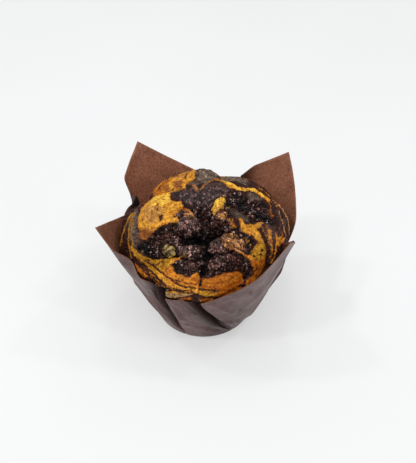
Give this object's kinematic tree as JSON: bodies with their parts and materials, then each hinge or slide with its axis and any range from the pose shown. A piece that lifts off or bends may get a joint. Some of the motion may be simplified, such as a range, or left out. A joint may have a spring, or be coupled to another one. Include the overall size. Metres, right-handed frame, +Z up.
{
  "type": "muffin",
  "caption": "Marbled chocolate and golden muffin with a cracked, lobed crown, in a folded brown tulip-shaped paper case.",
  "frame": {"origin": "centre of the paper case's flat base, on the surface it stands on", "axes": "+Z up through the muffin's top; the view that shows the two front petals low and the two back petals high looks along +Y, with +X to the right"},
  "size_m": [0.0971, 0.0925, 0.0752],
  "materials": {
    "crumb": "baked crust, golden brown marbled with dark chocolate, moist crumb in the cracks",
    "paper": "greaseproof baking paper, brown, faintly creased"
  },
  "bodies": {
    "root": {"muffin": "crumb", "paper_case": "paper"}
  },
  "joints": []
}
